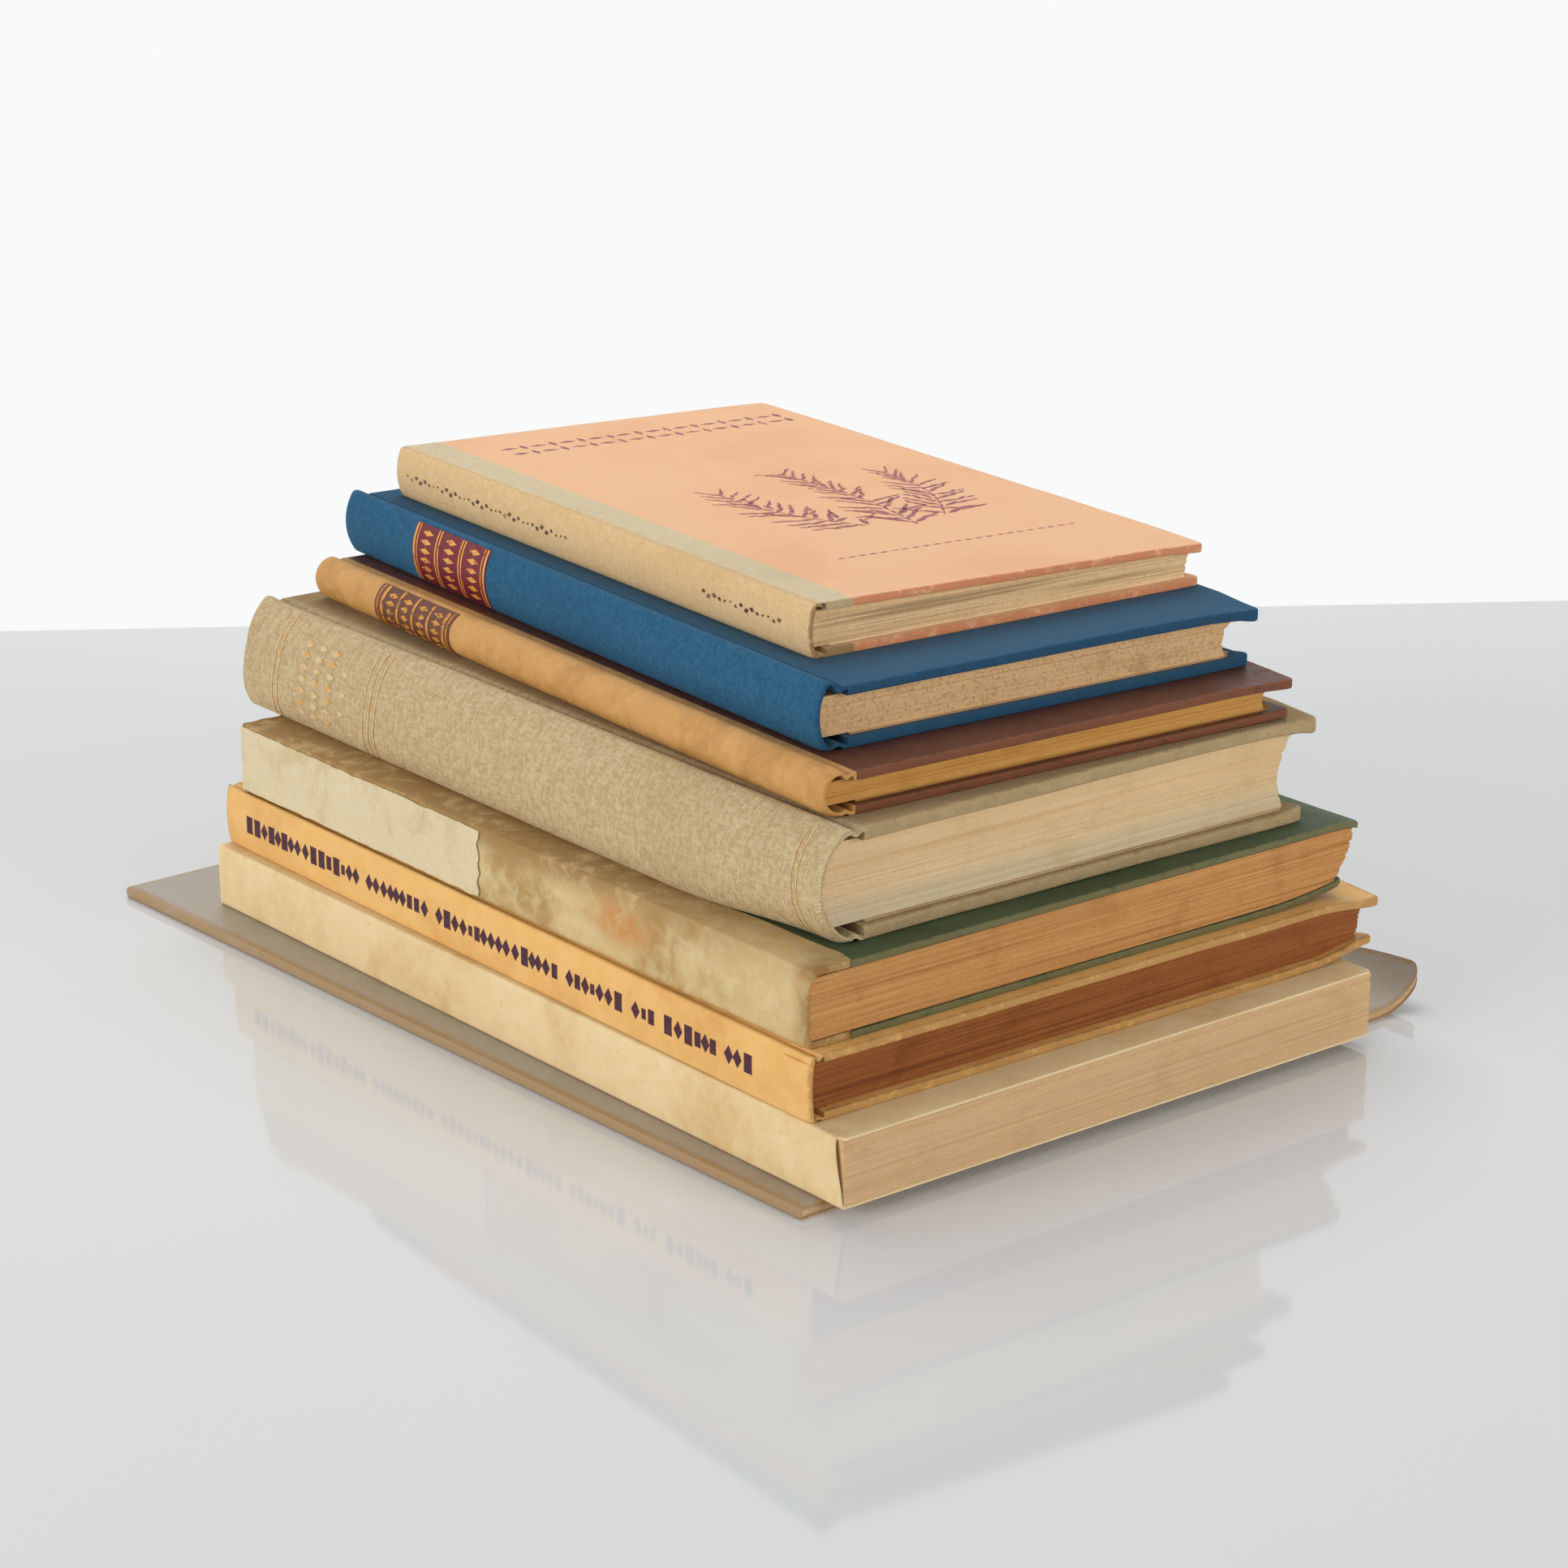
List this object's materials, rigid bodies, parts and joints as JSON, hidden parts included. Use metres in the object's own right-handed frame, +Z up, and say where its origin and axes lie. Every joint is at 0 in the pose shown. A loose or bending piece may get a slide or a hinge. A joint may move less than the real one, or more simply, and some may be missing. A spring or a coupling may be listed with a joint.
{
  "type": "stack of books",
  "caption": "Stack of old books lying flat with their spines to one side, the largest at the bottom; the top book's front cover opens.",
  "frame": {"origin": "on the floor, under the middle of the whole stack's bounding box", "axes": "+X from the bottom booklet's spine to its fore-edge, +Y along its spine from tail to head, +Z up"},
  "size_m": [0.2434, 0.344, 0.1406],
  "materials": {
    "blue_cover_cloth": "matte",
    "blue_pages": "matte",
    "blue_spine_label": "satin",
    "cream_pages": "matte",
    "cream_wrapper": "matte",
    "endpaper": "matte",
    "green_pages": "matte",
    "green_paper": "matte",
    "green_spine_paper": "matte",
    "green_spine_patch": "matte",
    "grey_pages": "matte",
    "grey_wrapper": "matte",
    "linen_cover_cloth": "matte",
    "linen_pages": "matte",
    "pasteboard": "matte",
    "peach_cloth": "matte",
    "peach_pages": "matte",
    "peach_paper": "matte",
    "tan_pages": "matte",
    "tan_side_paper": "matte",
    "tan_spine_label": "satin",
    "tan_spine_leather": "satin",
    "yellow_cover_paper": "matte",
    "yellow_pages": "matte"
  },
  "bodies": {
    "stack": {"blue_back_board": "pasteboard", "blue_back_endpaper": "endpaper", "blue_cover_cloth": "blue_cover_cloth", "blue_front_board": "pasteboard", "blue_front_endpaper": "endpaper", "blue_spine_inlay": "pasteboard", "blue_spine_label": "blue_spine_label", "blue_text_block": "blue_pages", "cream_text_block": "cream_pages", "cream_wrapper": "cream_wrapper", "green_back_board": "pasteboard", "green_back_endpaper": "endpaper", "green_back_paper": "green_paper", "green_front_board": "pasteboard", "green_front_endpaper": "endpaper", "green_front_paper": "green_paper", "green_spine_paper": "green_spine_paper", "green_spine_patch": "green_spine_patch", "green_text_block": "green_pages", "grey_pages": "grey_pages", "grey_wrapper": "grey_wrapper", "linen_back_board": "pasteboard", "linen_back_endpaper": "endpaper", "linen_cover_cloth": "linen_cover_cloth", "linen_front_board": "pasteboard", "linen_front_endpaper": "endpaper", "linen_spine_inlay": "pasteboard", "linen_text_block": "linen_pages", "peach_back_board": "pasteboard", "peach_back_endpaper": "endpaper", "peach_back_paper": "peach_paper", "peach_front_flyleaf": "endpaper", "peach_spine_cloth": "peach_cloth", "peach_spine_inlay": "pasteboard", "peach_text_block": "peach_pages", "tan_back_board": "pasteboard", "tan_back_endpaper": "endpaper", "tan_back_paper": "tan_side_paper", "tan_front_board": "pasteboard", "tan_front_endpaper": "endpaper", "tan_front_paper": "tan_side_paper", "tan_spine_inlay": "pasteboard", "tan_spine_label": "tan_spine_label", "tan_spine_leather": "tan_spine_leather", "tan_text_block": "tan_pages", "yellow_back_board": "pasteboard", "yellow_back_endpaper": "endpaper", "yellow_cover_paper": "yellow_cover_paper", "yellow_front_board": "pasteboard", "yellow_front_endpaper": "endpaper", "yellow_spine_inlay": "pasteboard", "yellow_text_block": "yellow_pages"},
    "peach_cover": {"peach_front_board": "pasteboard", "peach_front_cloth": "peach_cloth", "peach_front_paper": "peach_paper", "peach_front_pastedown": "endpaper"}
  },
  "joints": [
    {"name": "peach_cover_hinge", "type": "hinge", "parent": "stack", "child": "peach_cover", "pos_m": [-0.04317, 0.02311, 0.14075], "axis": [-0.0985, -0.9951, 0], "range_deg": [0, 180]}
  ]
}
